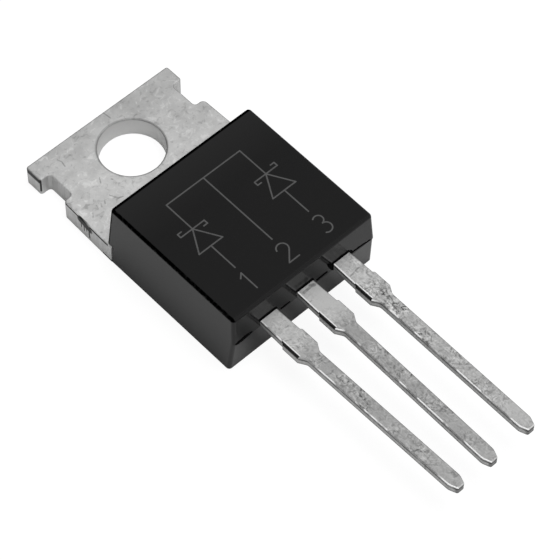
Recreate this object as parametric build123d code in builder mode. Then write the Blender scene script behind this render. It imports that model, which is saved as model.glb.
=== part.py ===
from build123d import *
from math import radians, tan
import os

os.makedirs("parts", exist_ok=True)

# A three-lead rectifier with a drilled tab, lying on its back. All sizes are in millimetres.
# The origin is on the axis of the tab's hole, in the plane of the tab's back face.
# +Y points to the tab's end, the leads run along -Y, and +Z points out of the front.

# Tab: the thick part of the copper leadframe, outside the moulding
tab_thickness = 1.27
tab_inset = 0.05
hole_diameter = 3.7
hole_to_tab_end = 2.82
bar_length = 1.2
notch_length = 1.8
notch_depth = 0.65
notch_radius = 0.2
bar_corner_radius = 0.15
neck_corner_radius = 0.3
neck_taper = 0.1
tab_roll = 0.1

# Pad: the same thick copper, inside the moulding
shoulder_length = 0.43
pad_side_wall = 0.71
pad_to_front = 2.3
pad_coin_width = 0.3
pad_coin_height = 0.5

# Moulding
hole_to_moulding = 3.72
moulding_length = 9.75
moulding_width = 10.12
moulding_height = 4.4
side_draft = 3.15
back_draft = 5.0
front_draft = 4.0
lower_front_draft = 4.8
parting_step = 0.04
front_corner_radius = 0.2
back_corner_radius = 0.22
rim_radius = 0.2
neck_proud = 0.02

# Leads: the thin part of the leadframe
lead_pitch = 2.54
lead_thickness = 0.5
lead_underside = 2.38
lead_length = 13.57
root_width = 1.12
waist_width = 1.2
dam_bar_distance = 1.77
dam_bar_length = 1.1
dam_bar_width = 1.38
dam_bar_ramp = 0.1
narrow_ramp = 0.45
narrow_width = 0.82
narrow_radius = 0.4
tip_length = 0.47
tip_width = 0.44
tip_radius = 0.12
shoulder_radius = 0.6
lead_roll = 0.07

# Handling bent each lead a little where it turns narrow: its lean towards +X and its dip, in degrees
lead_lean = {"left": 0.95, "middle": -0.25, "right": 0.0}
lead_dip = {"left": 0.2, "middle": 1.4, "right": 0.7}
dip_radius = 20.0
strip_spare = 1.0

# Inner ends of the leads
post_wall = 0.8
post_length = 1.4
post_width = 2.4
strap_width = 1.6
strap_wall = 0.7
strap_ramp = 1.1
strap_overlap = 0.5
bend_radius = 0.5

# Dies, their solder and their bond wires
die_size = 2.0
die_thickness = 0.25
solder_size = 2.2
solder_thickness = 0.06
die_to_pad_end = 3.4
wire_diameter = 0.3
wire_spacing = 0.9
wire_squash = 0.05
wire_crown = 3.6
wire_foot = 0.6
wire_rise = 1.1
wire_fall = 0.7
wire_start_radius = 0.35
wire_crown_radius = 0.5

# Places that follow from the sizes
tab_end_y = hole_to_tab_end
bar_inner_y = tab_end_y - bar_length
neck_start_y = bar_inner_y - notch_length
back_y = -hole_to_moulding
front_y = back_y - moulding_length
shoulder_y = back_y - shoulder_length
pad_end_y = front_y + pad_to_front
tab_width = moulding_width - 2 * tab_inset
neck_width = moulding_width + 2 * neck_proud
pad_width = moulding_width - 2 * pad_side_wall
parting_height = lead_underside
lead_top = lead_underside + lead_thickness
lead_middle = lead_underside + lead_thickness / 2
tip_y = front_y - lead_length
strip_end_y = tip_y - strip_spare
dam_start_y = front_y - dam_bar_distance
dam_end_y = dam_start_y - dam_bar_length
narrow_start_y = dam_end_y - narrow_ramp
post_front_y = front_y + post_wall
post_back_y = post_front_y + post_length
strap_front_y = front_y + strap_wall
die_y = pad_end_y + die_to_pad_end
solder_top = tab_thickness + solder_thickness
die_top = solder_top + die_thickness
wire_radius = wire_diameter / 2
notch_floor_x = tab_width / 2 - notch_depth
sides = {"left": -1, "right": 1}
match = 0.001
upright = 0.95


def corners_at(outline, y):
    """The corners of an outline that lie at one y."""
    return outline.vertices().filter_by_position(Axis.Y, y - match, y + match)


def lead_outline(inner_points, lean):
    """One lead seen from the front, centred on x = 0; inner_points are its +X edge in the moulding."""
    edge = [
        (tip_width / 2, tip_y),
        (narrow_width / 2, tip_y + tip_length),
        (narrow_width / 2, narrow_start_y),
        (dam_bar_width / 2, dam_end_y),
        (dam_bar_width / 2, dam_start_y),
        (waist_width / 2, dam_start_y + dam_bar_ramp),
        (root_width / 2, front_y),
        *inner_points,
    ]
    straight = edge + [(-x, y) for x, y in reversed(edge)]
    leaning = [(x + max(narrow_start_y - y, 0) * tan(radians(lean)), y) for x, y in straight]
    with BuildSketch() as outline:
        with BuildLine():
            Polyline(*leaning, close=True)
        make_face()
        fillet(outline.vertices().group_by(Axis.Y)[0], tip_radius)
        fillet(corners_at(outline, tip_y + tip_length), shoulder_radius)
        fillet(corners_at(outline, narrow_start_y), narrow_radius)
    return outline.sketch


def bent_lead(side, centre_x, inner_points, inner_path, inner_radii):
    """One lead: strip bent along a path seen from the side, then cut to its outline and rolled."""
    end_drop = (narrow_start_y - strip_end_y) * tan(radians(lead_dip[side]))
    path = [*inner_path, (narrow_start_y, lead_middle), (strip_end_y, lead_middle - end_drop)]
    with BuildPart() as lead:
        with BuildSketch(Plane.YZ.offset(centre_x)):
            with BuildLine():
                FilletPolyline(*path, radius=[*inner_radii, dip_radius])
            trace(line_width=lead_thickness)
        extrude(amount=post_width, both=True)
        with BuildSketch():
            with Locations((centre_x, 0)):
                add(lead_outline(inner_points, lead_lean[side]))
        extrude(amount=lead_top, mode=Mode.INTERSECT)
        facing_up = lead.faces().filter_by(lambda f: f.normal_at().Z > upright)
        front_faces = facing_up.filter_by(lambda f: f.center().Z > lead_underside)
        fillet(front_faces.edges().filter_by(Axis.X, reverse=True), lead_roll)
    return lead.part


# Left and right leads, each with a broad post for the wires at its inner end
side_leads = {}
post_edge = [
    (root_width / 2, post_front_y),
    (post_width / 2, post_front_y),
    (post_width / 2, post_back_y),
]
for side, sign in sides.items():
    with BuildPart() as side_lead:
        add(bent_lead(side, sign * lead_pitch, post_edge, [(post_back_y, lead_middle)], []))
    side_lead.part.label = f"{side}_lead"
    export_step(side_lead.part, f"parts/{side}_lead.step")
    side_leads[side] = side_lead.part

# Tab, pad and middle lead: one piece of copper strip of two thicknesses
strap_edge = [
    (root_width / 2, strap_front_y),
    (strap_width / 2, strap_front_y + strap_ramp / 2),
    (strap_width / 2, pad_end_y + strap_overlap),
]
strap_low = tab_thickness - lead_thickness / 2
strap_path = [
    (pad_end_y + strap_overlap, strap_low),
    (strap_front_y + strap_ramp, strap_low),
    (strap_front_y, lead_middle),
]
with BuildPart() as heatsink_tab:
    add(bent_lead("middle", 0, strap_edge, strap_path, [bend_radius, bend_radius]))

    # the tab and its pad
    with BuildSketch() as plate:
        edge = [
            (tab_width / 2, tab_end_y),
            (tab_width / 2, bar_inner_y),
            (notch_floor_x, bar_inner_y),
            (notch_floor_x, neck_start_y),
            (neck_width / 2 - neck_taper, neck_start_y),
            (neck_width / 2, shoulder_y),
            (pad_width / 2, shoulder_y),
            (pad_width / 2, pad_end_y),
        ]
        mirrored_edge = [(-x, y) for x, y in reversed(edge)]
        with BuildLine():
            Polyline(*edge, *mirrored_edge, close=True)
        make_face()
        step_corners = corners_at(plate, bar_inner_y) + corners_at(plate, neck_start_y)
        fillet([corner for corner in step_corners if abs(corner.X) < notch_floor_x + match], notch_radius)
        notch_reach = notch_floor_x + notch_radius + match
        bar_corners = corners_at(plate, tab_end_y) + corners_at(plate, bar_inner_y)
        fillet([corner for corner in bar_corners if abs(corner.X) > notch_reach], bar_corner_radius)
        neck_corners = corners_at(plate, neck_start_y)
        fillet([corner for corner in neck_corners if abs(corner.X) > notch_reach], neck_corner_radius)
        Circle(hole_diameter / 2, mode=Mode.SUBTRACT)
    extrude(amount=tab_thickness)

    # a coined step round the pad's back, which the moulding grips
    with BuildSketch():
        with Locations((0, shoulder_y)):
            Rectangle(pad_width, shoulder_y - pad_end_y, align=(Align.CENTER, Align.MAX))
            Rectangle(
                pad_width - 2 * pad_coin_width,
                shoulder_y - pad_end_y - pad_coin_width,
                align=(Align.CENTER, Align.MAX),
                mode=Mode.SUBTRACT,
            )
    extrude(amount=pad_coin_height, mode=Mode.SUBTRACT)

    # the press rolled over the edges on the front of the tab
    front_edges = heatsink_tab.edges().filter_by_position(Axis.Z, tab_thickness, tab_thickness)
    fillet(front_edges.filter_by(lambda e: e.center().Y > shoulder_y + tab_roll), tab_roll)
heatsink_tab.part.label = "heatsink_tab"
export_step(heatsink_tab.part, "parts/heatsink_tab.step")

# Dies and the solder that holds them to the pad
die_stacks = []
for side, sign in sides.items():
    die_place = (sign * lead_pitch, die_y)
    with BuildPart() as solder:
        with BuildSketch(Plane.XY.offset(tab_thickness)):
            with Locations(die_place):
                Rectangle(solder_size, solder_size)
        extrude(amount=solder_thickness)
    solder.part.label = f"{side}_die_solder"
    export_step(solder.part, f"parts/{side}_die_solder.step")

    with BuildPart() as die:
        with BuildSketch(Plane.XY.offset(solder_top)):
            with Locations(die_place):
                Rectangle(die_size, die_size)
        extrude(amount=die_thickness)
    die.part.label = f"{side}_die"
    export_step(die.part, f"parts/{side}_die.step")
    die_stacks += [solder.part, die.part]

# Bond wires: two from each die to its lead, pressed flat where they are welded down
wires = []
wire_end_y = die_y + wire_foot / 2
wire_lift_y = wire_end_y - wire_foot
wire_land_y = post_back_y - wire_fall
low_axis = die_top + wire_radius - wire_squash
high_axis = lead_top + wire_radius - wire_squash
for side, sign in sides.items():
    for place, shift in (("outer", sign), ("inner", -sign)):
        wire_x = sign * lead_pitch + shift * wire_spacing / 2
        with BuildPart() as wire:
            with BuildLine(Plane.YZ.offset(wire_x)) as loop:
                FilletPolyline(
                    (wire_end_y, low_axis),
                    (wire_lift_y, low_axis),
                    (wire_lift_y - wire_rise, wire_crown),
                    (post_back_y, wire_crown),
                    (wire_land_y, high_axis),
                    (wire_land_y - wire_foot, high_axis),
                    radius=[wire_start_radius, wire_crown_radius, wire_crown_radius, wire_start_radius],
                )
            with BuildSketch(Plane(origin=loop.line @ 0, z_dir=loop.line % 0)):
                Circle(wire_radius)
            sweep()
            for seat in [*die_stacks, side_leads[side]]:
                add(seat, mode=Mode.SUBTRACT)
        wire.part.label = f"{side}_{place}_bond_wire"
        export_step(wire.part, f"parts/{side}_{place}_bond_wire.step")
        wires.append(wire.part)

# Moulding: epoxy cast round everything inside, in a mould of two halves that part at the leads
back_foot_y = back_y + tab_thickness * tan(radians(back_draft))
back_parting_y = back_y - (parting_height - tab_thickness) * tan(radians(back_draft))
back_rim_y = back_y - (moulding_height - tab_thickness) * tan(radians(back_draft))
front_rim_y = front_y + (moulding_height - parting_height) * tan(radians(front_draft))
lower_front_y = front_y + parting_step
front_foot_y = lower_front_y + parting_height * tan(radians(lower_front_draft))
rim_x = moulding_width / 2 - moulding_height * tan(radians(side_draft))


def mould_half(side_outline):
    """One half of the moulding, with round upright corners, from its outline seen from the side."""
    with BuildPart() as half:
        with BuildSketch(Plane.YZ):
            with BuildLine():
                Polyline(*side_outline, close=True)
            make_face()
        extrude(amount=moulding_width, both=True)
        with BuildSketch(Plane.XZ.offset(-back_foot_y)):
            with BuildLine():
                Polyline(
                    (-moulding_width / 2, 0),
                    (-rim_x, moulding_height),
                    (rim_x, moulding_height),
                    (moulding_width / 2, 0),
                    close=True,
                )
            make_face()
        extrude(amount=back_foot_y - front_y, mode=Mode.INTERSECT)
        upright_edges = half.edges().filter_by(lambda e: abs((e % 0.5).Z) > upright).sort_by(Axis.Y)
        fillet(upright_edges[:2], front_corner_radius)
        fillet(upright_edges[2:], back_corner_radius)
    return half.part


lower_half = mould_half(
    [(back_foot_y, 0), (back_parting_y, parting_height), (lower_front_y, parting_height), (front_foot_y, 0)]
)
upper_half = mould_half(
    [
        (back_parting_y, parting_height),
        (back_rim_y, moulding_height),
        (front_rim_y, moulding_height),
        (front_y, parting_height),
    ]
)
with BuildPart() as moulded_body:
    add(upper_half)
    fillet(moulded_body.faces().sort_by(Axis.Z)[-1].edges(), rim_radius)
    add(lower_half)
    for insert in [heatsink_tab.part, *side_leads.values(), *die_stacks, *wires]:
        add(insert, mode=Mode.SUBTRACT)
moulded_body.part.label = "moulded_body"
export_step(moulded_body.part, "parts/moulded_body.step")
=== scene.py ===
import math

import bmesh
import bpy
from bpy.props import FloatProperty, FloatVectorProperty, PointerProperty
from bpy.types import Operator, Panel, PropertyGroup
from mathutils import Matrix, Vector, noise


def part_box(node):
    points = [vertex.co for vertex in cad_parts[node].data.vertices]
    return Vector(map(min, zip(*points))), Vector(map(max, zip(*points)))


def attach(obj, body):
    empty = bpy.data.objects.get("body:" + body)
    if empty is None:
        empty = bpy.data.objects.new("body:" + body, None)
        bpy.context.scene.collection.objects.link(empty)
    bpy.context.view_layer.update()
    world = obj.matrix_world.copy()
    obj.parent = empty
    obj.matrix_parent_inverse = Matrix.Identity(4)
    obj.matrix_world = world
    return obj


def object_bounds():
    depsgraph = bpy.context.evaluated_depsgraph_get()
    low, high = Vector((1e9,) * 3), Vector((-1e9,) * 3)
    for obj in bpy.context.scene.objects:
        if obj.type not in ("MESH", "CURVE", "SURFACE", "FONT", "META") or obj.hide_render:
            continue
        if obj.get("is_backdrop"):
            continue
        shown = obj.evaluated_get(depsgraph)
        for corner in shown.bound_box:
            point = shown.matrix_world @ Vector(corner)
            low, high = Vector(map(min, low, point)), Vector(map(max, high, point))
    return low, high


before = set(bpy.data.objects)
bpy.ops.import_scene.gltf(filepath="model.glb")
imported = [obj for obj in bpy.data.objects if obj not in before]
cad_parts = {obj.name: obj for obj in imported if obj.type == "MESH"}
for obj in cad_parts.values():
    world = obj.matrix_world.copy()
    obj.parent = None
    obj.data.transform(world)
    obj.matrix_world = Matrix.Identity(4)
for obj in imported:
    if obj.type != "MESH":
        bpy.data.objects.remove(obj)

bl_info = {
    "name": "Three-lead rectifier",
    "version": (1, 0, 0),
    "blender": (4, 5, 0),
    "location": "3D View > Sidebar > Rectifier",
    "description": "Finishes a packed three-lead rectifier and sets a plain studio round it",
    "category": "Object",
}

MM = 0.001
BODY = "root"
PICTURE_WIDTH = 560
SENSOR_WIDTH = 36.0

# Places on the part, in millimetres

BODY_LOW, BODY_HIGH = (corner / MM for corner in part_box("moulded_body"))
LEAD_LOW, LEAD_HIGH = (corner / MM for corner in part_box("right_lead"))
TAB_LOW, TAB_HIGH = (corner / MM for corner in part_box("heatsink_tab"))
LEAD_PITCH = (LEAD_LOW.x + LEAD_HIGH.x) / 2
LEAD_CENTRES = (-LEAD_PITCH, 0.0, LEAD_PITCH)
LEAD_TOP = LEAD_HIGH.z
ROOT_HALF_WIDTH = 0.56
FRONT = BODY_LOW.y
STUB_START = FRONT - 1.6
STUB_END = FRONT - 2.9
NARROW_START = FRONT - 3.3
TAB_THICKNESS = 1.27
HOLE_RADIUS = 1.85

# How far each lead dips along its narrow part, in degrees

LEAD_DIPS = (0.2, 1.4, 0.7)

# Factors that flatten a place onto the front face, or onto a side wall

ONTO_FRONT = (1.0, 1.0, 0.0)
ONTO_SIDE = (0.0, 1.0, 1.0)


# Sizes and colours that a user would change

class MouldingSettings(PropertyGroup):
    colour: FloatVectorProperty(
        name="Colour", description="Colour of the moulding compound", subtype="COLOR", size=3,
        default=(0.0025, 0.0025, 0.0026), min=0.0, max=1.0,
    )
    grain: FloatProperty(
        name="Grain", description="Size of the surface grain in millimetres", default=0.06, min=0.005,
    )
    front_roughness: FloatProperty(
        name="Front roughness", description="Roughness of the front face", subtype="FACTOR",
        default=0.45, min=0.0, max=1.0,
    )
    side_roughness: FloatProperty(
        name="Side roughness", description="Roughness of the side and end faces", subtype="FACTOR",
        default=0.14, min=0.0, max=1.0,
    )
    mark_colour: FloatVectorProperty(
        name="Mark colour", description="Colour of the laser marking", subtype="COLOR", size=3,
        default=(0.08, 0.08, 0.08), min=0.0, max=1.0,
    )
    mark_width: FloatProperty(
        name="Mark width", description="Width of the marking's lines in millimetres", default=0.1, min=0.01,
    )


class MetalSettings(PropertyGroup):
    colour: FloatVectorProperty(
        name="Colour", description="Colour of the tin plate", subtype="COLOR", size=3,
        default=(0.69, 0.69, 0.685), min=0.0, max=1.0,
    )
    metallic: FloatProperty(
        name="Metallic", description="How much of the matt plate shines as metal", subtype="FACTOR",
        default=0.6, min=0.0, max=1.0,
    )
    blotch: FloatProperty(
        name="Blotch", description="Size of the dull blotches in millimetres", default=1.2, min=0.01,
    )
    fleck: FloatProperty(
        name="Fleck", description="Size of the bright and dark flecks in millimetres", default=0.28, min=0.01,
    )
    tab_wall: FloatProperty(
        name="Tab's walls", description="How bright the tab's sheared walls are", default=1.05, min=0.0,
    )
    lead_wall: FloatProperty(
        name="Leads' walls", description="How bright the leads' sheared walls are", default=0.95, min=0.0,
    )
    hole_wall: FloatProperty(
        name="Hole's wall", description="How bright the wall of the tab's hole is", default=1.1, min=0.0,
    )


class FlashSettings(PropertyGroup):
    thickness: FloatProperty(
        name="Thickness", description="How far a flake stands proud of the moulding", subtype="DISTANCE",
        unit="LENGTH", default=0.02 * MM, min=0.0,
    )
    ragged_length: FloatProperty(
        name="Ragged length", description="Length of one ragged step along a flake", subtype="DISTANCE",
        unit="LENGTH", default=0.08 * MM, min=0.01 * MM,
    )


class StageSettings(PropertyGroup):
    azimuth: FloatProperty(
        name="Azimuth", description="Camera's angle round the part", subtype="ANGLE",
        default=math.radians(-43.562),
    )
    elevation: FloatProperty(
        name="Elevation", description="Camera's angle above the floor", subtype="ANGLE",
        default=math.radians(56.577),
    )
    roll: FloatProperty(
        name="Roll", description="Camera's turn about its own axis", subtype="ANGLE",
        default=math.radians(0.723),
    )
    distance: FloatProperty(
        name="Distance", description="From the camera to the hole's axis, along the view", subtype="DISTANCE",
        unit="LENGTH", default=144.891 * MM,
    )
    lens: FloatProperty(
        name="Lens", description="Focal length in millimetres", default=173.48, min=1.0,
    )
    hole_across: FloatProperty(
        name="Hole across", description="Where the origin is in the picture, in pixels from the left",
        default=132.624,
    )
    hole_down: FloatProperty(
        name="Hole down", description="Where the origin is in the picture, in pixels from the top",
        default=161.216,
    )
    floor_size: FloatProperty(
        name="Floor size", description="Side of the square floor", subtype="DISTANCE", unit="LENGTH",
        default=2.0, min=0.05,
    )
    floor_colour: FloatVectorProperty(
        name="Floor colour", description="Colour of the floor", subtype="COLOR", size=3,
        default=(0.62, 0.62, 0.62), min=0.0, max=1.0,
    )
    sky: FloatProperty(
        name="Sky", description="Brightness of the soft light overhead", default=0.62, min=0.0,
    )
    key_power: FloatProperty(
        name="Key power", description="Power of the large soft light", subtype="POWER", unit="POWER",
        default=1.8, min=0.0,
    )


# Building node trees

class Nodes:
    """Adds nodes to one tree and joins them. A value is a number, a tuple or another node's output."""

    def __init__(self, tree):
        self.tree = tree
        tree.nodes.clear()

    def put(self, socket, value):
        if isinstance(value, bpy.types.NodeSocket):
            self.tree.links.new(value, socket)
        else:
            socket.default_value = value

    def add(self, kind, inputs=None, **settings):
        node = self.tree.nodes.new(kind)
        for name, value in settings.items():
            setattr(node, name, value)
        for name, value in (inputs or {}).items():
            self.put(node.inputs[name], value)
        return node

    def math(self, operation, *values, clamp=False):
        inputs = dict(enumerate(values))
        return self.add("ShaderNodeMath", inputs, operation=operation, use_clamp=clamp).outputs[0]

    def vector(self, operation, *values):
        node = self.add("ShaderNodeVectorMath", dict(enumerate(values)), operation=operation)
        return node.outputs["Value" if operation in ("LENGTH", "DOT_PRODUCT", "DISTANCE") else "Vector"]

    def scaled(self, vector, factor):
        node = self.add("ShaderNodeVectorMath", {"Vector": vector, "Scale": factor}, operation="SCALE")
        return node.outputs["Vector"]

    def split(self, vector):
        return self.add("ShaderNodeSeparateXYZ", {"Vector": vector}).outputs

    def ramp(self, value, low, high, to_low=0.0, to_high=1.0, smooth=False):
        inputs = {"Value": value, "From Min": low, "From Max": high, "To Min": to_low, "To Max": to_high}
        kind = "SMOOTHSTEP" if smooth else "LINEAR"
        return self.add("ShaderNodeMapRange", inputs, clamp=True, interpolation_type=kind).outputs["Result"]

    def noise(self, position, size, detail=2.0, roughness=0.5, distortion=0.0):
        inputs = {"Vector": position, "Detail": detail, "Roughness": roughness, "Distortion": distortion}
        node = self.add("ShaderNodeTexNoise", inputs)
        self.put(node.inputs["Scale"], self.math("DIVIDE", 1.0, size))
        return node.outputs["Fac"]

    def mix(self, factor, first, second):
        node = self.add("ShaderNodeMix", data_type="RGBA")
        for name, value in (("Factor_Float", factor), ("A_Color", first), ("B_Color", second)):
            self.put(next(s for s in node.inputs if s.identifier == name), value)
        return next(s for s in node.outputs if s.identifier == "Result_Color")

    def blend(self, factor, first, second):
        node = self.add("ShaderNodeMix", data_type="FLOAT")
        for name, value in (("Factor", factor), ("A", first), ("B", second)):
            self.put(node.inputs[name], value)
        return node.outputs["Result"]

    def strongest(self, masks):
        result = masks[0]
        for mask in masks[1:]:
            result = self.math("MAXIMUM", result, mask)
        return result

    def group(self, name, inputs):
        node = self.add("ShaderNodeGroup", node_tree=bpy.data.node_groups[name])
        for socket, value in inputs.items():
            self.put(node.inputs[socket], value)
        return node.outputs

    def place_on_part(self):
        return self.scaled(self.add("ShaderNodeTexCoord").outputs["Object"], 1.0 / MM)

    def surface_normal(self):
        return self.add("ShaderNodeTexCoord").outputs["Normal"]

    def bump(self, shader, height, depth):
        node = self.add("ShaderNodeBump", {"Height": height, "Distance": depth * MM})
        self.put(shader.inputs["Normal"], node.outputs["Normal"])


def new_group(name, inputs, outputs):
    """A shader node group with named sockets; inputs and outputs give each name its kind and default."""
    tree = bpy.data.node_groups.new(name, "ShaderNodeTree")
    nodes = Nodes(tree)
    for in_out, sockets in (("INPUT", inputs), ("OUTPUT", outputs)):
        for label, (kind, default) in sockets.items():
            socket = tree.interface.new_socket(name=label, in_out=in_out, socket_type=kind)
            if default is not None:
                socket.default_value = default
    source = nodes.add("NodeGroupInput").outputs
    result = nodes.add("NodeGroupOutput").inputs
    return nodes, source, result


FLOAT = "NodeSocketFloat"
VECTOR = "NodeSocketVector"


def fine_grain_group():
    """Grain of a moulded or rolled surface: a height, and a mask of its brighter grains."""
    nodes, source, result = new_group(
        "Fine Grain",
        {"Position": (VECTOR, None), "Size": (FLOAT, 0.05), "Spread": (FLOAT, 0.5)},
        {"Height": (FLOAT, 0.0), "Specks": (FLOAT, 0.0)},
    )
    fine = nodes.noise(source["Position"], source["Size"], detail=3.0, roughness=0.6)
    coarse_size = nodes.math("MULTIPLY", source["Size"], 5.0)
    coarse = nodes.noise(source["Position"], coarse_size, detail=2.0)
    blended = nodes.math("MULTIPLY", coarse, source["Spread"])
    nodes.put(result["Height"], nodes.math("ADD", fine, blended))
    nodes.put(result["Specks"], nodes.ramp(fine, 0.62, 0.72))


def upright_streaks_group():
    """Streaks that run up and down a wall, where the mould or the punch slid along it."""
    nodes, source, result = new_group(
        "Upright Streaks",
        {"Position": (VECTOR, None), "Width": (FLOAT, 0.1), "Length": (FLOAT, 2.0)},
        {"Streaks": (FLOAT, 0.0)},
    )
    place = nodes.split(source["Position"])
    across = (nodes.math("DIVIDE", place[axis], source["Width"]) for axis in "XY")
    along = nodes.math("DIVIDE", place["Z"], source["Length"])
    inputs = dict(zip("XYZ", (*across, along)))
    stretched = nodes.add("ShaderNodeCombineXYZ", inputs).outputs["Vector"]
    nodes.put(result["Streaks"], nodes.noise(stretched, 1.0, detail=3.0, roughness=0.6))


def soft_box_group():
    """A mask that is 1 inside a box and fades to 0 at its walls."""
    nodes, source, result = new_group(
        "Soft Box",
        {"Position": (VECTOR, None), "Low": (VECTOR, None), "High": (VECTOR, None), "Edge": (FLOAT, 0.1)},
        {"Mask": (FLOAT, 0.0)},
    )
    above = nodes.vector("SUBTRACT", source["Position"], source["Low"])
    below = nodes.vector("SUBTRACT", source["High"], source["Position"])
    inside = nodes.split(nodes.vector("MINIMUM", above, below))
    nearest = nodes.math("MINIMUM", nodes.math("MINIMUM", inside["X"], inside["Y"]), inside["Z"])
    nodes.put(result["Mask"], nodes.ramp(nearest, 0.0, source["Edge"], smooth=True))


def within_stroke(nodes, distance, width):
    """1 along the middle of a stroke and 0 outside its width, with a soft edge between."""
    half = nodes.math("MULTIPLY", width, 0.5)
    fade = nodes.math("MULTIPLY", width, 0.3)
    return nodes.ramp(distance, half, fade)


def stroke_group():
    """A mask of one straight stroke, from one place to another."""
    nodes, source, result = new_group(
        "Stroke",
        {"Position": (VECTOR, None), "Start": (VECTOR, None), "End": (VECTOR, None), "Width": (FLOAT, 0.1)},
        {"Mask": (FLOAT, 0.0)},
    )
    from_start = nodes.vector("SUBTRACT", source["Position"], source["Start"])
    run = nodes.vector("SUBTRACT", source["End"], source["Start"])
    length_squared = nodes.vector("DOT_PRODUCT", run, run)
    along = nodes.math("DIVIDE", nodes.vector("DOT_PRODUCT", from_start, run), length_squared, clamp=True)
    nearest = nodes.scaled(run, along)
    distance = nodes.vector("DISTANCE", from_start, nearest)
    nodes.put(result["Mask"], within_stroke(nodes, distance, source["Width"]))


def arc_group():
    """A mask of one round stroke. Facing points at its middle, and Reach is the cosine of half its angle."""
    nodes, source, result = new_group(
        "Arc",
        {
            "Position": (VECTOR, None), "Centre": (VECTOR, None), "Radius": (FLOAT, 0.3),
            "Facing": (VECTOR, None), "Reach": (FLOAT, -1.0), "Width": (FLOAT, 0.1),
        },
        {"Mask": (FLOAT, 0.0)},
    )
    offset = nodes.vector("SUBTRACT", source["Position"], source["Centre"])
    length = nodes.vector("LENGTH", offset)
    distance = nodes.math("ABSOLUTE", nodes.math("SUBTRACT", length, source["Radius"]))
    direction = nodes.vector("NORMALIZE", offset)
    toward = nodes.vector("DOT_PRODUCT", direction, source["Facing"])
    reached = nodes.math("GREATER_THAN", toward, source["Reach"])
    whole = within_stroke(nodes, distance, source["Width"])
    nodes.put(result["Mask"], nodes.math("MULTIPLY", whole, reached))


GROUPS = (fine_grain_group, upright_streaks_group, soft_box_group, stroke_group, arc_group)


def build_groups():
    for build in GROUPS:
        build()


def new_material(name):
    material = bpy.data.materials.new(name)
    material.use_nodes = True
    nodes = Nodes(material.node_tree)
    shader = nodes.add("ShaderNodeBsdfPrincipled")
    output = nodes.add("ShaderNodeOutputMaterial")
    nodes.put(output.inputs["Surface"], shader.outputs["BSDF"])
    return material, nodes, shader


def dress(names, material):
    for name in names:
        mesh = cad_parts[name].data
        mesh.materials.clear()
        mesh.materials.append(material)


# Laser marking: terminal numbers, and the symbol of two diodes joined at their cathodes

DIGIT_HEIGHT = 1.2
DIGIT_MIDDLE = FRONT + 1.45
SYMBOL_FOOT = FRONT + 2.5
TRIANGLE_FOOT = FRONT + 4.3
TRIANGLE_TOP = FRONT + 5.7
SYMBOL_JOIN = FRONT + 7.7
TRIANGLE_HALF = 0.8
HOOK = 0.25


def symbol_strokes():
    """The strokes of the right diode and half of what joins the two, as pairs of (x, y)."""
    x = LEAD_PITCH
    left, right = x - TRIANGLE_HALF, x + TRIANGLE_HALF
    top, foot = TRIANGLE_TOP, TRIANGLE_FOOT
    outline = [(left, foot), (right, foot), (x, top), (left, foot)]
    bar = [(left + HOOK, top - HOOK), (left, top - HOOK), (left, top), (right, top), (right, top + HOOK)]
    bar.append((right - HOOK, top + HOOK))
    lines = [[(x, SYMBOL_FOOT), (x, foot)], [(x, top), (x, SYMBOL_JOIN), (0, SYMBOL_JOIN)]]
    lines.append([(0, SYMBOL_JOIN), (0, SYMBOL_FOOT)])
    return [pair for line in (outline, bar, *lines) for pair in zip(line, line[1:])]


def digit_strokes():
    """The straight strokes of the numbers 1 and 2, as pairs of (x, y)."""
    low, high = DIGIT_MIDDLE - DIGIT_HEIGHT / 2, DIGIT_MIDDLE + DIGIT_HEIGHT / 2
    one = -LEAD_PITCH
    return [
        ((one, low), (one, high)),
        ((one, high), (one - 0.25, high - 0.25)),
        ((0.26, high - 0.55), (-0.33, low)),
        ((-0.33, low), (0.36, low)),
    ]


def digit_arcs():
    """The round strokes of the numbers 2 and 3: centre, radius, direction and half angle in degrees."""
    low, high = DIGIT_MIDDLE - DIGIT_HEIGHT / 2, DIGIT_MIDDLE + DIGIT_HEIGHT / 2
    return [
        ((0.0, high - 0.33), 0.33, 68.0, 105.0),
        ((LEAD_PITCH, high - 0.28), 0.28, 25.0, 115.0),
        ((LEAD_PITCH, low + 0.32), 0.32, -25.0, 115.0),
    ]


def marking_mask(nodes, position, width):
    """A mask of the marking on the moulding's front face. Both diodes come from the right one's strokes."""
    flat = nodes.vector("MULTIPLY", position, ONTO_FRONT)
    folded = nodes.vector("ABSOLUTE", nodes.vector("MULTIPLY", flat, (1.0, 0.0, 0.0)))
    mirrored = nodes.vector("ADD", folded, nodes.vector("MULTIPLY", flat, (0.0, 1.0, 0.0)))
    masks = []
    for place, strokes in ((mirrored, symbol_strokes()), (flat, digit_strokes())):
        for start, end in strokes:
            inputs = {"Position": place, "Start": (*start, 0.0), "End": (*end, 0.0), "Width": width}
            masks.append(nodes.group("Stroke", inputs)["Mask"])
    for centre, radius, facing, half_angle in digit_arcs():
        facing = math.radians(facing)
        inputs = {
            "Position": flat, "Centre": (*centre, 0.0), "Radius": radius, "Width": width,
            "Facing": (math.cos(facing), math.sin(facing), 0.0), "Reach": math.cos(math.radians(half_angle)),
        }
        masks.append(nodes.group("Arc", inputs)["Mask"])
    return nodes.strongest(masks)


# Finish of the moulding compound, with lengths in millimetres

PALER_COLOUR = (0.025, 0.025, 0.025)
# Colour of the painted shade on the front face's back and left rims
RIM_SHADE_COLOUR = (0.0005, 0.0005, 0.0005)
COMPOUND_IOR = 1.39
COMPOUND_GRAIN_DEPTH = 0.003
MOULD_STREAKS = {"Width": 0.12, "Length": 3.0}


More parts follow.
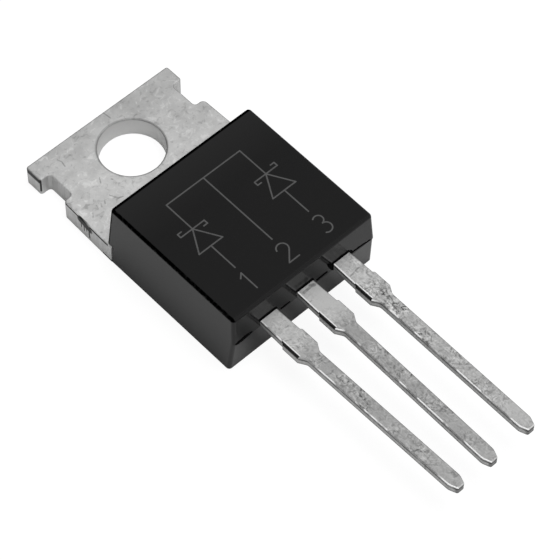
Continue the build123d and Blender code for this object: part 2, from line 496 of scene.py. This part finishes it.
def painted_rim_shade_mask(nodes, position):
    """Painted shade: a dead black back rim on the front face, and a broken black line along its left rim."""
    corners = [v.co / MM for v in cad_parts["moulded_body"].data.vertices]
    top = [corner for corner in corners if corner.z > BODY_HIGH.z - 0.02]
    back, left = max(corner.y for corner in top), min(corner.x for corner in top)
    place = nodes.split(position)
    high = nodes.math("GREATER_THAN", place["Z"], BODY_HIGH.z - 0.15)
    back_line = nodes.ramp(place["Y"], back - 0.12, back - 0.07)
    left_line = nodes.ramp(place["X"], left + 0.06, left + 0.02)
    broken = nodes.ramp(nodes.noise(position, 0.2), 0.35, 0.5, 0.3, 1.0)
    left_line = nodes.math("MULTIPLY", left_line, broken)
    return nodes.math("MULTIPLY", nodes.math("MAXIMUM", back_line, left_line), high)


def moulding_material(settings):
    material, nodes, shader = new_material("Moulding compound")
    position, facing = nodes.place_on_part(), nodes.split(nodes.surface_normal())
    grain = nodes.group("Fine Grain", {"Position": position, "Size": settings.grain})
    streaks = nodes.group("Upright Streaks", {"Position": position, **MOULD_STREAKS})["Streaks"]
    front_face = nodes.ramp(facing["Z"], 0.9, 0.98)
    broken = nodes.ramp(grain["Height"], 0.45, 0.75, 0.55, 1.0)
    marking = nodes.math("MULTIPLY", marking_mask(nodes, position, settings.mark_width), broken)
    marking = nodes.math("MULTIPLY", marking, front_face)
    # Paler towards the back of the front face, and at pale grain specks
    paler_back_and_specks = nodes.ramp(nodes.split(position)["Y"], FRONT + 6.5, BODY_HIGH.y, 0.0, 0.34)
    paler_back_and_specks = nodes.math("MULTIPLY", paler_back_and_specks, front_face)
    paler_back_and_specks = nodes.math("MAXIMUM", paler_back_and_specks, nodes.math("MULTIPLY", grain["Specks"], 0.3))
    base = nodes.mix(paler_back_and_specks, (*settings.colour, 1.0), (*PALER_COLOUR, 1.0))
    base = nodes.mix(marking, base, (*settings.mark_colour, 1.0))
    # Painted shade on the rims: black, and metallic so that it reflects nothing
    painted_rim = painted_rim_shade_mask(nodes, position)
    nodes.put(shader.inputs["Base Color"], nodes.mix(painted_rim, base, (*RIM_SHADE_COLOUR, 1.0)))
    nodes.put(shader.inputs["Metallic"], painted_rim)
    front = nodes.ramp(grain["Height"], 0.3, 1.0, 0.8 * settings.front_roughness, settings.front_roughness)
    side = nodes.ramp(streaks, 0.3, 0.7, 0.7 * settings.side_roughness, 1.4 * settings.side_roughness)
    back_rim = nodes.ramp(facing["Y"], 0.03, 0.12, 0.0, 0.7)
    rough = nodes.math("ADD", nodes.blend(front_face, side, front), back_rim, clamp=True)
    nodes.put(shader.inputs["Roughness"], rough)
    shader.inputs["IOR"].default_value = COMPOUND_IOR
    height = nodes.blend(front_face, nodes.math("MULTIPLY", streaks, 0.4), grain["Height"])
    nodes.bump(shader, height, COMPOUND_GRAIN_DEPTH)
    return material


# Handling marks on the front of the tab and the leads: lines of (x, y), all of one width

FRONT_MARKS = (
    [(-3.45, 2.05), (-3.36, 1.80), (-3.43, 1.45)],
    [(-2.92, -1.55), (-2.70, -2.02), (-2.45, -2.10)],
    [(0.38, 2.80), (0.44, 2.25)],
    [(-3.94, -1.82), (-3.86, -1.62)],
    [(-3.70, -1.86), (-3.60, -1.66)],
    [(-3.44, -1.82), (-3.34, -1.64)],
    [(-2.58, -0.35), (-2.75, -0.66)],
    [(-2.16, -0.84), (-2.12, -0.90)],
    [(-4.31, -1.84), (-4.51, -2.08)],
    [(-0.50, -14.33), (-0.36, -14.33)],
    [(-2.44, -14.63), (-2.28, -14.64)],
    [(-3.08, -14.96), (-3.05, -15.17), (-2.73, -15.33)],
    [(-2.51, -15.86), (-2.51, -15.92)],
    [(2.09, -14.60), (2.32, -14.56), (2.79, -14.50)],
    [(2.93, -13.62), (3.08, -13.55)],
    [(3.04, -14.87), (2.83, -15.01), (2.80, -15.23)],
    [(2.32, -17.08), (2.34, -17.16)],
    [(2.23, -21.80), (2.94, -22.50)],
    [(-2.86, -24.95), (-2.44, -25.42)],
)
FRONT_MARK_WIDTH = 0.09

# Broad stains on the middle lead's front: start and end as (x, y), and width

STAINS = (
    ((-0.34, -13.72), (0.30, -13.68), 0.18),
    ((0.20, -13.64), (0.38, -13.72), 0.26),
)

# Painted shadow lines and dark marks on the tab's left wall: start and end as (y, z), and width

WALL_SHADOWS_AND_MARKS = (
    ((-1.70, 0.55), (-1.66, 1.05), 0.10),
    ((-1.92, 0.45), (-1.90, 1.05), 0.10),
    ((-2.12, 0.60), (-2.10, 1.05), 0.08),
    ((-2.34, 0.25), (-2.32, 1.15), 0.13),
    ((-1.62, 1.10), (-2.36, 0.98), 0.60),
    ((-2.40, 1.20), (-3.85, 1.20), 0.10),
    ((-0.40, 1.22), (-1.60, 1.22), 0.06),
    ((1.62, 1.08), (2.76, 1.08), 0.38),
    ((1.68, 0.25), (1.66, 1.10), 0.10),
    ((2.74, 0.10), (2.76, 1.10), 0.08),
    ((-3.50, 0.05), (-4.20, 0.05), 0.22),
)

# Where the dark residue and painted shade on each lead's left wall start and end, along the lead

RESIDUE_AND_SHADE_SPANS = (
    (STUB_START, STUB_END),
    (FRONT - 0.1, FRONT - 2.85),
    (FRONT - 0.1, FRONT - 2.85),
)

# How far down the wall the residue with its painted shade, and the stubs' painted shade, reach

RESIDUE_AND_SHADE_DEPTH = 0.16
STUB_SHADE_DEPTH = 0.14

# Texture of the tin plate, with lengths in millimetres

TIN_GRAIN_SIZE = 0.08
TIN_GRAIN_DEPTH = 0.006
PUNCH_STREAKS = {"Width": 0.12, "Length": 1.6}


def tab_tone(nodes, position, settings):
    """How bright the tab's plated faces are: soft blotches with bright and dark flecks, and a ring of painted
    shade on the hole's rolled rim.
    """
    blotches = nodes.noise(position, settings.blotch, detail=5.0, roughness=0.6)
    flecks = nodes.noise(position, 1.3 * settings.fleck, detail=3.0, roughness=0.55, distortion=1.0)
    cloud = nodes.ramp(blotches, 0.35, 0.65, 0.87, 1.13)
    bright = nodes.ramp(flecks, 0.56, 0.70, 0.0, 0.24)
    dark = nodes.ramp(flecks, 0.43, 0.29, 0.0, 0.28)
    tone = nodes.math("SUBTRACT", nodes.math("ADD", cloud, bright), dark)
    place = nodes.split(position)
    diagonal = nodes.math("ADD", place["Y"], nodes.math("MULTIPLY", place["X"], 0.3))
    fall = nodes.ramp(diagonal, TAB_HIGH.y, BODY_HIGH.y + 0.3 * TAB_LOW.x, 0.9, 1.31)
    tone = nodes.math("MULTIPLY", tone, fall)
    # A ring of painted shade on the hole's rolled rim
    flat = nodes.vector("MULTIPLY", position, ONTO_FRONT)
    from_hole = nodes.math("SUBTRACT", nodes.vector("LENGTH", flat), HOLE_RADIUS + 0.05)
    ring = nodes.ramp(nodes.math("ABSOLUTE", from_hole), 0.09, 0.04)
    return nodes.math("MULTIPLY", tone, nodes.ramp(ring, 0.0, 1.0, 1.0, 0.66))


def lead_tone(nodes, position, settings):
    """How bright the leads' plated faces are: drawn streaks and spots, denser away from the moulding."""
    drawn = nodes.vector("MULTIPLY", position, (7.0, 1.8, 7.0))
    streaks = nodes.noise(drawn, 1.0, detail=4.0, roughness=0.65, distortion=0.5)
    spots = nodes.noise(position, settings.fleck, detail=1.0, roughness=0.45, distortion=1.8)
    patches = nodes.noise(position, 1.4, detail=1.0)
    place = nodes.split(position)
    away = nodes.ramp(place["Y"], FRONT - 1.2, NARROW_START, 0.5, 1.0)
    amount = nodes.math("MULTIPLY", away, nodes.ramp(patches, 0.4, 0.6, 0.5, 1.45))
    on_right = nodes.math("GREATER_THAN", place["X"], 0.5 * LEAD_PITCH)
    beside_dam = nodes.ramp(place["Y"], NARROW_START - 4.0, NARROW_START, 0.0, 0.7)
    amount = nodes.math("MULTIPLY", amount, nodes.math("MULTIPLY_ADD", on_right, beside_dam, 0.75))
    toward_tip = nodes.ramp(place["Y"], LEAD_LOW.y, LEAD_LOW.y + 4.0, 0.5, 1.0)
    amount = nodes.math("MULTIPLY", amount, toward_tip)
    from_middle = nodes.math("ABSOLUTE", place["X"])
    calm = nodes.ramp(place["Y"], NARROW_START - 1.0, NARROW_START, 0.9, 0.55)
    outer = nodes.ramp(from_middle, 0.4 * LEAD_PITCH, 0.6 * LEAD_PITCH)
    amount = nodes.math("MULTIPLY", amount, nodes.blend(outer, calm, 1.0))
    drawn_tone = nodes.ramp(streaks, 0.3, 0.7, -0.28, 0.20)
    dark_spots = nodes.ramp(spots, 0.46, 0.34, 0.0, -0.34)
    bright_spots = nodes.ramp(spots, 0.54, 0.66, 0.0, 0.26)
    uneven = nodes.math("ADD", nodes.math("ADD", drawn_tone, dark_spots), bright_spots)
    narrow = nodes.ramp(place["X"], 0.3 * LEAD_PITCH, 0.6 * LEAD_PITCH, 0.65, 0.77)
    narrow = nodes.math("MULTIPLY_ADD", outer, 0.04, narrow)
    tip = nodes.ramp(place["Y"], LEAD_LOW.y + 5.0, LEAD_LOW.y, 0.0, 0.08)
    level = nodes.math("ADD", nodes.blend(nodes.ramp(away, 0.72, 1.0), 0.93, narrow), tip)
    return nodes.math("MULTIPLY_ADD", uneven, amount, level)


def lead_depth(nodes, position):
    """How far a place lies below the front face of its lead. Each lead dips by its own slope."""
    place = nodes.split(position)
    side = nodes.math("GREATER_THAN", nodes.math("ABSOLUTE", place["X"]), 0.5 * LEAD_PITCH)
    right = nodes.math("GREATER_THAN", place["X"], 0.5 * LEAD_PITCH)
    left_dip, middle_dip, right_dip = (math.tan(math.radians(dip)) for dip in LEAD_DIPS)
    slope = nodes.blend(side, middle_dip, nodes.blend(right, left_dip, right_dip))
    beyond = nodes.math("MINIMUM", nodes.math("SUBTRACT", place["Y"], NARROW_START), 0.0)
    front = nodes.math("MULTIPLY_ADD", beyond, slope, LEAD_TOP)
    return nodes.math("SUBTRACT", front, place["Z"])


def painted_rim_highlight_mask(nodes, position, facing):
    """Painted highlights on the rolled rims along the leads' left edges and round their tips, broken on the
    narrow parts.
    """
    place = nodes.split(position)
    to_left = nodes.ramp(facing["X"], -0.1, -0.3)
    to_front = nodes.ramp(facing["Y"], -0.1, -0.3, 0.0, 0.25)
    sideways = nodes.math("MAXIMUM", to_left, to_front)
    rolled = nodes.math("MULTIPLY", sideways, nodes.ramp(facing["Z"], 0.15, 0.3))
    on_lead = nodes.math("LESS_THAN", place["Y"], FRONT)
    at_root = nodes.ramp(place["Y"], NARROW_START, NARROW_START + 0.4)
    at_root = nodes.math("MULTIPLY", at_root, nodes.math("GREATER_THAN", place["X"], -0.5 * LEAD_PITCH))
    at_tip = nodes.ramp(place["Y"], LEAD_LOW.y + 1.3, LEAD_LOW.y + 0.9)
    kept = nodes.ramp(nodes.noise(position, 0.8, detail=1.0), 0.48, 0.58)
    kept = nodes.strongest([kept, at_root, at_tip])
    return nodes.math("MULTIPLY", nodes.math("MULTIPLY", rolled, kept), on_lead)


def wall_tone(nodes, position, settings):
    """How bright the sheared walls are, with the streaks that the punch left and a broken line of painted
    shade high on the leads' walls. The hole's wall is smoother.
    """
    streaks = nodes.group("Upright Streaks", {"Position": position, **PUNCH_STREAKS})["Streaks"]
    place = nodes.split(position)
    on_lead = nodes.math("LESS_THAN", place["Y"], FRONT)
    depth = lead_depth(nodes, position)
    # A broken line of painted shade high on each lead's wall, left off the stubs
    line = nodes.math("MULTIPLY", nodes.ramp(depth, 0.05, 0.09), nodes.ramp(depth, 0.22, 0.17))
    broken = nodes.ramp(nodes.noise(position, 0.5), 0.35, 0.55, 0.5, 1.0)
    line = nodes.math("MULTIPLY", line, broken)
    stub_middle, stub_half = (STUB_START + STUB_END) / 2, (STUB_START - STUB_END) / 2
    on_stub = nodes.math("COMPARE", place["Y"], stub_middle, stub_half)
    line = nodes.math("MULTIPLY", line, nodes.math("SUBTRACT", 1.0, on_stub))
    lower_band = nodes.ramp(depth, 0.38, 0.45, settings.lead_wall, 0.5 * settings.lead_wall)
    banded = nodes.math("MULTIPLY", nodes.ramp(line, 0.0, 1.0, 1.0, 0.22), lower_band)
    level = nodes.blend(on_lead, settings.tab_wall, banded)
    sheared = nodes.math("MULTIPLY", nodes.ramp(streaks, 0.3, 0.7, 0.88, 1.1), level)
    notch = nodes.ramp(place["X"], TAB_LOW.x + 0.15, TAB_LOW.x + 0.5, 0.0, 0.15)
    tip = nodes.ramp(place["Y"], LEAD_LOW.y + 0.2, LEAD_LOW.y + 0.08, 0.0, 0.65)
    shade = nodes.math("MAXIMUM", notch, tip)
    sheared = nodes.math("MULTIPLY", sheared, nodes.math("SUBTRACT", 1.0, shade))
    flat = nodes.vector("MULTIPLY", position, ONTO_FRONT)
    in_hole = nodes.ramp(nodes.vector("LENGTH", flat), HOLE_RADIUS + 0.3, HOLE_RADIUS + 0.2)
    bored = nodes.ramp(place["Z"], TAB_THICKNESS, 0.0, 0.9 * settings.hole_wall, settings.hole_wall)
    return nodes.blend(in_hole, sheared, bored)


def line_mask(nodes, position, line, width):
    """A mask of one line of two or more points."""
    masks = []
    for start, end in zip(line, line[1:]):
        inputs = {"Position": position, "Start": start, "End": end, "Width": width}
        masks.append(nodes.group("Stroke", inputs)["Mask"])
    return nodes.strongest(masks)


def marks_and_shadow_lines_mask(nodes, position):
    """Handling marks on the front of the tab and the leads, and painted shadow lines with dark marks on the
    tab's left wall.
    """
    from_front = nodes.vector("MULTIPLY", position, ONTO_FRONT)
    lines = ([(x, y, 0.0) for x, y in line] for line in FRONT_MARKS)
    front = nodes.strongest([line_mask(nodes, from_front, line, FRONT_MARK_WIDTH) for line in lines])
    broken = nodes.ramp(nodes.noise(position, 0.12), 0.3, 0.55, 0.3, 1.0)
    front = nodes.math("MULTIPLY", front, broken)
    # Painted shadow lines and dark marks on the tab's left wall
    from_side = nodes.vector("MULTIPLY", position, ONTO_SIDE)
    wall_shadows_and_marks = [line_mask(nodes, from_side, [(0.0, *a), (0.0, *b)], width) for a, b, width in WALL_SHADOWS_AND_MARKS]
    left_side = nodes.math("LESS_THAN", nodes.split(position)["X"], TAB_LOW.x + 0.16)
    wall = nodes.math("MULTIPLY", nodes.strongest(wall_shadows_and_marks), left_side)
    stains = [line_mask(nodes, from_front, [(*a, 0.0), (*b, 0.0)], width) for a, b, width in STAINS]
    cloudy = nodes.ramp(nodes.noise(position, 0.3), 0.35, 0.6, 0.3, 0.65)
    stains = nodes.math("MULTIPLY", nodes.strongest(stains), cloudy)
    marks = nodes.math("MAXIMUM", nodes.math("MULTIPLY", front, 0.4), stains)
    return nodes.math("MAXIMUM", marks, wall)


def box_mask(nodes, position, low, high, edge):
    """A mask of one box with soft walls."""
    return nodes.group("Soft Box", {"Position": position, "Low": low, "High": high, "Edge": edge})["Mask"]


def residue_and_shade_mask(nodes, position):
    """Dark moulding residue and painted shade along the top of each lead's left wall, near the moulding."""
    masks = []
    for centre, (start, end) in zip(LEAD_CENTRES, RESIDUE_AND_SHADE_SPANS):
        wall = centre - ROOT_HALF_WIDTH
        low = (wall - 0.3, end, LEAD_TOP - RESIDUE_AND_SHADE_DEPTH)
        high = (wall + 0.06, start, LEAD_TOP + 0.05)
        masks.append(box_mask(nodes, position, low, high, 0.04))
    return nodes.strongest(masks)


def stub_shade_and_highlight_masks(nodes, position):
    """Painted shade on the left side of each dam bar stub, and a painted highlight where the lead's own edge
    runs past it.
    """
    dark, bright = [], []
    for centre in LEAD_CENTRES:
        edge = centre - ROOT_HALF_WIDTH
        for masks, low_x, high_x in ((dark, edge - 0.3, edge + 0.01), (bright, edge - 0.01, edge + 0.07)):
            low = (low_x, STUB_END, LEAD_TOP - STUB_SHADE_DEPTH)
            high = (high_x, STUB_START, LEAD_TOP + 0.05)
            masks.append(box_mask(nodes, position, low, high, 0.02))
    return nodes.strongest(dark), nodes.strongest(bright)


def tin_material(settings):
    material, nodes, shader = new_material("Tin plate")
    position, facing = nodes.place_on_part(), nodes.split(nodes.surface_normal())
    tilt = nodes.math("ABSOLUTE", facing["Z"])
    wall = nodes.ramp(tilt, 0.7, 0.3)
    on_lead = nodes.math("LESS_THAN", nodes.split(position)["Y"], FRONT)
    face = nodes.blend(on_lead, tab_tone(nodes, position, settings), lead_tone(nodes, position, settings))
    tone = nodes.blend(wall, face, wall_tone(nodes, position, settings))
    # Dark residue and painted shade on the leads' left walls
    dark = nodes.math("MULTIPLY", residue_and_shade_mask(nodes, position), wall)
    # Handling marks, and painted shadow lines on the tab's left wall
    dark = nodes.math("MAXIMUM", dark, marks_and_shadow_lines_mask(nodes, position))
    # Painted shade on the stubs' left sides, and painted highlights past them
    painted_stub_shade, painted_stub_highlight = stub_shade_and_highlight_masks(nodes, position)
    dark = nodes.math("MAXIMUM", dark, painted_stub_shade)
    tone = nodes.math("MULTIPLY", tone, nodes.ramp(dark, 0.0, 1.0, 1.0, 0.03))
    # Painted shade on the rolled edges that face +X and +Y
    far_side = nodes.ramp(nodes.math("MAXIMUM", facing["X"], facing["Y"]), 0.1, 0.3)
    far_edge_shade = nodes.math("MULTIPLY", far_side, nodes.ramp(tilt, 0.2, 0.35, 0.0, 0.35))
    tone = nodes.math("MULTIPLY", tone, nodes.math("SUBTRACT", 1.0, far_edge_shade))
    # Painted highlights on the leads' rims and beside the stubs: a white base with no metal
    painted_rim = nodes.math("MULTIPLY", painted_rim_highlight_mask(nodes, position, facing), nodes.math("SUBTRACT", 1.0, painted_stub_shade))
    painted_rim = nodes.math("MAXIMUM", painted_rim, nodes.math("MULTIPLY", painted_stub_highlight, 0.6))
    base = nodes.mix(painted_rim, nodes.scaled(tuple(settings.colour), tone), (1.0, 1.0, 1.0, 1.0))
    nodes.put(shader.inputs["Base Color"], base)
    blotches = nodes.noise(position, settings.blotch, detail=4.0)
    nodes.put(shader.inputs["Roughness"], nodes.ramp(blotches, 0.3, 0.7, 0.38, 0.5))
    nodes.put(shader.inputs["Metallic"], nodes.blend(painted_rim, settings.metallic, 0.0))
    grain = nodes.group("Fine Grain", {"Position": position, "Size": TIN_GRAIN_SIZE})
    nodes.bump(shader, grain["Height"], TIN_GRAIN_DEPTH)
    return material


# Finishes inside the moulding: the end of the pieces' names, then material, colour, metallic and roughness

INNER_FINISHES = (
    ("_die", "Silicon", (0.25, 0.25, 0.3), 0.6, 0.2),
    ("_solder", "Solder", (0.5, 0.5, 0.5), 1.0, 0.5),
    ("_wire", "Bond wire", (0.8, 0.8, 0.8), 1.0, 0.3),
)
INNER_GRAIN_SIZE = 0.03


def inner_material(name, colour, metallic, roughness):
    material, nodes, shader = new_material(name)
    grain = nodes.group("Fine Grain", {"Position": nodes.place_on_part(), "Size": INNER_GRAIN_SIZE})
    dark = (*(0.8 * c for c in colour), 1.0)
    nodes.put(shader.inputs["Base Color"], nodes.mix(grain["Height"], dark, (*colour, 1.0)))
    nodes.put(shader.inputs["Roughness"], nodes.ramp(grain["Height"], 0.3, 1.0, 0.8 * roughness, roughness))
    shader.inputs["Metallic"].default_value = metallic
    return material


# Flakes of flash on the moulding's lead end, near black so that they also stand in as painted shade, each a
# line of (x, lowest z, highest z) in millimetres

PARTING_FLAKES = (
    [(-4.80, 2.40, 2.46), (-4.60, 2.34, 2.50), (-4.30, 2.33, 2.56), (-4.00, 2.38, 2.55), (-3.66, 2.42, 2.48)],
    [(-1.69, 2.47, 2.52), (-1.30, 2.48, 2.54), (-1.04, 2.49, 2.52)],
    [(0.80, 2.54, 2.59), (1.20, 2.54, 2.60), (1.57, 2.56, 2.60)],
    [(3.35, 2.55, 2.60), (3.90, 2.52, 2.58), (4.62, 2.42, 2.47)],
    [(1.64, 2.92, 3.08), (1.72, 2.70, 3.06), (1.84, 2.46, 2.98), (1.94, 2.36, 2.84), (2.00, 2.34, 2.60)],
    [(3.16, 2.66, 2.76), (3.28, 2.54, 2.82), (3.40, 2.54, 2.62)],
)

# The dark flake over each lead's root, which stands in as painted shade: its stations across the lead, and
# its height at each

ROOT_FLAKE = ((-0.60, 0.04), (0.0, 0.07), (0.60, 0.04))
ROOT_FLAKES = [
    [(x + across, LEAD_TOP, LEAD_TOP + height) for across, height in ROOT_FLAKE]
    for x in LEAD_CENTRES
]

# How deep a flake sits in the moulding, how its upper edge waves, and its grain

FLAKE_DEPTH = 0.12
RAGGED_HEIGHT = 0.03
RAGGED_PITCH = 0.12
FLASH_GRAIN_SIZE = 0.05
FLASH_GRAIN_DEPTH = 0.005


def add_flake(shape, stations, settings):
    """One flake: a thin ragged strip that stands a little proud of the lead end."""
    step = settings.ragged_length / MM
    outer = FRONT - settings.thickness / MM
    inner = FRONT + FLAKE_DEPTH
    rings = []
    for (x0, low0, high0), (x1, low1, high1) in zip(stations, stations[1:]):
        count = max(1, round((x1 - x0) / step))
        first = 0 if not rings else 1
        for number in range(first, count + 1):
            along = number / count
            x = x0 + (x1 - x0) * along
            ragged = RAGGED_HEIGHT * noise.noise(Vector((x / RAGGED_PITCH, 0.0, 0.0)))
            low = low0 + (low1 - low0) * along
            high = high0 + (high1 - high0) * along + ragged
            corners = ((outer, low), (outer, high), (inner, high), (inner, low))
            rings.append([shape.verts.new(Vector((x, y, z)) * MM) for y, z in corners])
    for ring, following in zip(rings, rings[1:]):
        for side in range(4):
            after = (side + 1) % 4
            shape.faces.new((ring[side], ring[after], following[after], following[side]))
    shape.faces.new(rings[0])
    shape.faces.new(reversed(rings[-1]))


# Near black flash with almost no reflection, standing in as painted shade
def flash_shade_material():
    material, nodes, shader = new_material("Flash")
    grain = nodes.group("Fine Grain", {"Position": nodes.place_on_part(), "Size": FLASH_GRAIN_SIZE})
    base = nodes.mix(grain["Specks"], (0.001, 0.001, 0.001, 1.0), (0.01, 0.01, 0.01, 1.0))
    nodes.put(shader.inputs["Base Color"], base)
    nodes.put(shader.inputs["Roughness"], nodes.ramp(grain["Height"], 0.3, 1.0, 0.7, 1.0))
    shader.inputs["Specular IOR Level"].default_value = 0.05
    nodes.bump(shader, grain["Height"], FLASH_GRAIN_DEPTH)
    return material


# Operators

class PART_OT_dress_moulding(Operator):
    """Gives the moulding its black compound and its marking"""

    bl_idname = "rectifier.dress_moulding"
    bl_label = "Dress moulding"

    def execute(self, context):
        dress(["moulded_body"], moulding_material(context.scene.rectifier_moulding))
        return {"FINISHED"}


class PART_OT_dress_metal(Operator):
    """Gives the tab and the leads their tin plate"""

    bl_idname = "rectifier.dress_metal"
    bl_label = "Dress tab and leads"

    def execute(self, context):
        plated = ("heatsink_tab", "left_lead", "right_lead")
        dress(plated, tin_material(context.scene.rectifier_metal))
        return {"FINISHED"}


class PART_OT_add_flash(Operator):
    """Adds the thin dark flakes of compound at the parting line and round the leads' roots, which stand in as
    painted shade
    """

    bl_idname = "rectifier.add_flash"
    bl_label = "Add flash"

    def execute(self, context):
        settings = context.scene.rectifier_flash
        mesh = bpy.data.meshes.new("parting_flash_shade")
        shape = bmesh.new()
        for stations in (*PARTING_FLAKES, *ROOT_FLAKES):
            add_flake(shape, stations, settings)
        bmesh.ops.recalc_face_normals(shape, faces=shape.faces)
        shape.to_mesh(mesh)
        shape.free()
        flash = bpy.data.objects.new("parting_flash_shade", mesh)
        context.scene.collection.objects.link(flash)
        mesh.materials.append(flash_shade_material())
        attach(flash, BODY)
        return {"FINISHED"}


class PART_OT_dress_inside(Operator):
    """Gives the dies, their solder and the bond wires their finishes"""

    bl_idname = "rectifier.dress_inside"
    bl_label = "Dress inside"

    def execute(self, context):
        names = sorted(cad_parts)
        for ending, *finish in INNER_FINISHES:
            dress([name for name in names if name.endswith(ending)], inner_material(*finish))
        return {"FINISHED"}


# Directions from the part, and lengths in metres

SKY_DIRECTION = (0.40, -0.55, 0.73)
KEY_DIRECTION = (0.12, -0.15, 0.98)
KEY_DISTANCE = 0.5
KEY_SIZE = 0.3
FLOOR_GAP = 0.005 * MM


class STAGE_OT_studio(Operator):
    """Sets a pale floor, soft light and the photo's camera round the part"""

    bl_idname = "rectifier.studio"
    bl_label = "Set studio"

    def execute(self, context):
        stage = context.scene.rectifier_stage
        context.scene.view_settings.view_transform = "Standard"
        self.add_floor(context, stage)
        self.add_sky(context, stage)
        self.add_key(context, stage)
        self.add_camera(context, stage)
        return {"FINISHED"}

    def add_floor(self, context, stage):
        half = stage.floor_size / 2
        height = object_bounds()[0].z - FLOOR_GAP
        mesh = bpy.data.meshes.new("floor")
        corners = [(-half, -half, height), (half, -half, height), (half, half, height), (-half, half, height)]
        mesh.from_pydata(corners, [], [(0, 1, 2, 3)])
        floor = bpy.data.objects.new("floor", mesh)
        context.scene.collection.objects.link(floor)
        material, nodes, shader = new_material("Pale floor")
        seen = nodes.add("ShaderNodeLightPath").outputs["Is Camera Ray"]
        colour = (*stage.floor_colour, 1.0)
        pale = (*(0.2 * c for c in stage.floor_colour), 1.0)
        nodes.put(shader.inputs["Base Color"], nodes.mix(seen, colour, pale))
        glow = nodes.mix(seen, (0.0, 0.0, 0.0, 1.0), (1.0, 1.0, 1.0, 1.0))
        nodes.put(shader.inputs["Emission Color"], glow)
        shader.inputs["Emission Strength"].default_value = 0.9
        shader.inputs["Roughness"].default_value = 0.9
        mesh.materials.append(material)
        floor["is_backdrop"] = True

    def add_sky(self, context, stage):
        world = bpy.data.worlds.new("Soft sky")
        context.scene.world = world
        world.use_nodes = True
        nodes = Nodes(world.node_tree)
        direction = nodes.add("ShaderNodeTexCoord").outputs["Generated"]
        toward = tuple(Vector(SKY_DIRECTION).normalized())
        facing = nodes.vector("DOT_PRODUCT", direction, toward)
        overhead = nodes.ramp(facing, 0.1, 0.6, 0.09, stage.sky, smooth=True)
        seen = nodes.add("ShaderNodeLightPath").outputs["Is Camera Ray"]
        background = nodes.add("ShaderNodeBackground", {"Strength": nodes.blend(seen, overhead, 1.0)})
        background.inputs["Color"].default_value = (1.0, 1.0, 1.0, 1.0)
        output = nodes.add("ShaderNodeOutputWorld")
        nodes.put(output.inputs["Surface"], background.outputs["Background"])

    def add_key(self, context, stage):
        light = bpy.data.lights.new("key", "AREA")
        light.shape = "SQUARE"
        light.size = KEY_SIZE
        light.energy = stage.key_power
        key = bpy.data.objects.new("key", light)
        context.scene.collection.objects.link(key)
        toward = Vector(KEY_DIRECTION).normalized()
        low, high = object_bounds()
        key.location = (low + high) / 2 + KEY_DISTANCE * toward
        key.rotation_euler = toward.to_track_quat("Z", "Y").to_euler()
        key.visible_glossy = False

    def add_camera(self, context, stage):
        camera = bpy.data.objects.new("camera", bpy.data.cameras.new("camera"))
        context.scene.collection.objects.link(camera)
        camera.data.lens = stage.lens
        camera.data.sensor_width = SENSOR_WIDTH
        camera.data.sensor_fit = "HORIZONTAL"
        camera.data.clip_start = stage.distance / 100
        camera.data.clip_end = stage.distance * 100
        level = math.cos(stage.elevation)
        sine, cosine = math.sin(stage.azimuth), math.cos(stage.azimuth)
        back = Vector((sine * level, -cosine * level, math.sin(stage.elevation)))
        right = Vector((cosine, sine, 0.0))
        up = back.cross(right)
        turn = Matrix.Rotation(stage.roll, 3, back)
        right, up = turn @ right, turn @ up
        pixel = stage.distance * SENSOR_WIDTH / stage.lens / PICTURE_WIDTH
        across = (stage.hole_across - PICTURE_WIDTH / 2) * pixel
        down = (stage.hole_down - PICTURE_WIDTH / 2) * pixel
        camera.matrix_world = Matrix((right, up, back)).transposed().to_4x4()
        camera.location = stage.distance * back - across * right + down * up
        context.scene.camera = camera


class PART_PT_rectifier(Panel):
    """Lists the operators and their settings"""

    bl_idname = "PART_PT_rectifier"
    bl_label = "Rectifier"
    bl_space_type = "VIEW_3D"
    bl_region_type = "UI"
    bl_category = "Rectifier"

    def draw(self, context):
        scene = context.scene
        for operator, settings in STEPS:
            box = self.layout.box()
            box.operator(operator.bl_idname)
            if settings:
                group = getattr(scene, settings)
                for name in group.bl_rna.properties.keys():
                    if name not in ("rna_type", "name"):
                        box.prop(group, name)


STEPS = (
    (PART_OT_dress_moulding, "rectifier_moulding"),
    (PART_OT_dress_metal, "rectifier_metal"),
    (PART_OT_dress_inside, None),
    (PART_OT_add_flash, "rectifier_flash"),
    (STAGE_OT_studio, "rectifier_stage"),
)
SETTINGS = {
    "rectifier_moulding": MouldingSettings,
    "rectifier_metal": MetalSettings,
    "rectifier_flash": FlashSettings,
    "rectifier_stage": StageSettings,
}
CLASSES = (*SETTINGS.values(), *(operator for operator, settings in STEPS), PART_PT_rectifier)


def register():
    for cls in CLASSES:
        bpy.utils.register_class(cls)
    for name, group in SETTINGS.items():
        setattr(bpy.types.Scene, name, PointerProperty(type=group))


def unregister():
    for name in SETTINGS:
        delattr(bpy.types.Scene, name)
    for cls in reversed(CLASSES):
        bpy.utils.unregister_class(cls)


def main():
    """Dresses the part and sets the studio."""
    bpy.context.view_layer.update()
    register()
    build_groups()
    bpy.ops.rectifier.dress_moulding()
    bpy.ops.rectifier.dress_metal()
    bpy.ops.rectifier.dress_inside()
    bpy.ops.rectifier.add_flash()
    bpy.ops.rectifier.studio()


if __name__ == "__main__":
    main()
